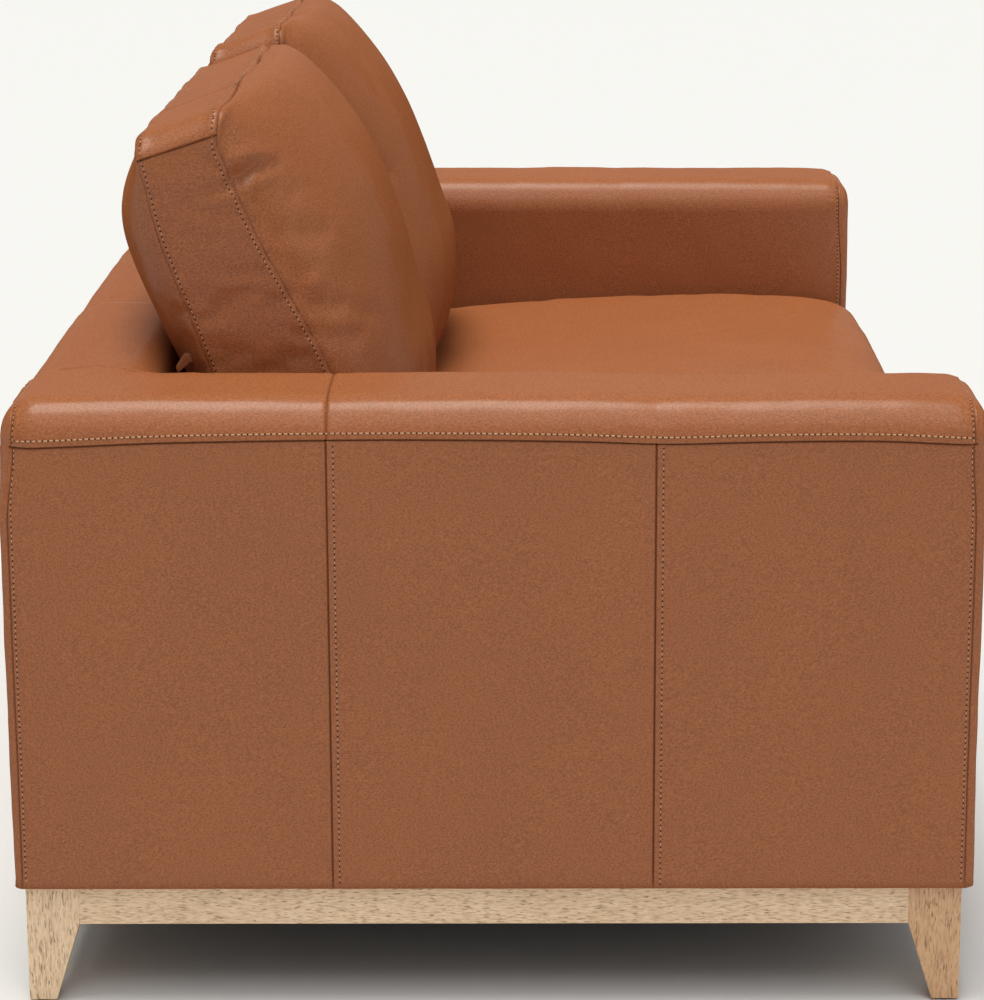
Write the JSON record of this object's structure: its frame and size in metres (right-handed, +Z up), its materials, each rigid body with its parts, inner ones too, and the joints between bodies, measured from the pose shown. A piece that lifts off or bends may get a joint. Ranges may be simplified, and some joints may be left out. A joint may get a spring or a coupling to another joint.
{
  "type": "sofa",
  "caption": "Low box-arm sofa in tan leather with loose seat and back cushions, on an oak plinth base with tapered corner legs.",
  "frame": {"origin": "middle of the footprint, on the floor", "axes": "+Z up, +X to the sitter's left along the width, the front faces -Y"},
  "size_m": [1.6, 0.95, 0.9043],
  "materials": {
    "leather": "satin",
    "oak": "satin",
    "pine": "matte",
    "hardboard": "matte",
    "foam": "matte",
    "webbing": "matte",
    "underside_cloth": "matte",
    "glides": "matte",
    "screws": "satin",
    "zip": "matte"
  },
  "bodies": {
    "frame": {"leg_front_left": "oak", "leg_front_right": "oak", "leg_rear_left": "oak", "leg_rear_right": "oak", "foot_glides": "glides", "base_rail_front": "oak", "base_rail_rear": "oak", "base_rail_left": "oak", "base_rail_right": "oak", "base_bearer": "pine", "base_braces": "pine", "base_dowels": "pine", "base_screws": "screws", "dust_cover": "underside_cloth", "frame_rail_front": "pine", "frame_rail_rear": "pine", "frame_rail_left": "pine", "frame_rail_right": "pine", "seat_rail_rear": "pine", "seat_bearer": "pine", "arm_posts_left": "pine", "arm_posts_right": "pine", "arm_top_board_left": "pine", "arm_top_board_right": "pine", "arm_panels_left": "hardboard", "arm_panels_right": "hardboard", "back_top_rail": "pine", "back_uprights": "pine", "back_panel": "hardboard", "seat_webbing": "webbing", "back_webbing": "webbing", "deck_cloth": "underside_cloth", "arm_foam_left": "foam", "arm_foam_right": "foam", "back_foam": "foam", "front_foam": "foam", "arm_outer_leather_left": "leather", "arm_outer_leather_right": "leather", "arm_top_leather_left": "leather", "arm_top_leather_right": "leather", "arm_front_leather_left": "leather", "arm_front_leather_right": "leather", "arm_inner_leather_left": "leather", "arm_inner_leather_right": "leather", "back_outer_leather": "leather", "back_top_leather": "leather", "back_inner_leather": "leather", "front_leather": "leather"},
    "seat_left_cushion": {"seat_cover_left": "leather", "seat_core_left": "foam", "seat_zip_left": "zip"},
    "seat_right_cushion": {"seat_cover_right": "leather", "seat_core_right": "foam", "seat_zip_right": "zip"},
    "back_left_cushion": {"back_cover_left": "leather", "back_core_left": "foam", "back_zip_left": "zip"},
    "back_right_cushion": {"back_cover_right": "leather", "back_core_right": "foam", "back_zip_right": "zip"}
  },
  "joints": [
    {"name": "seat_left_slide", "type": "slide", "parent": "frame", "child": "seat_left_cushion", "axis": [0, -1, 0], "range_m": [0, 0.82]},
    {"name": "seat_right_slide", "type": "slide", "parent": "frame", "child": "seat_right_cushion", "axis": [0, -1, 0], "range_m": [0, 0.82]},
    {"name": "back_left_lift", "type": "slide", "parent": "frame", "child": "back_left_cushion", "axis": [0, 0, 1], "range_m": [0, 0.3]},
    {"name": "back_right_lift", "type": "slide", "parent": "frame", "child": "back_right_cushion", "axis": [0, 0, 1], "range_m": [0, 0.3]}
  ]
}
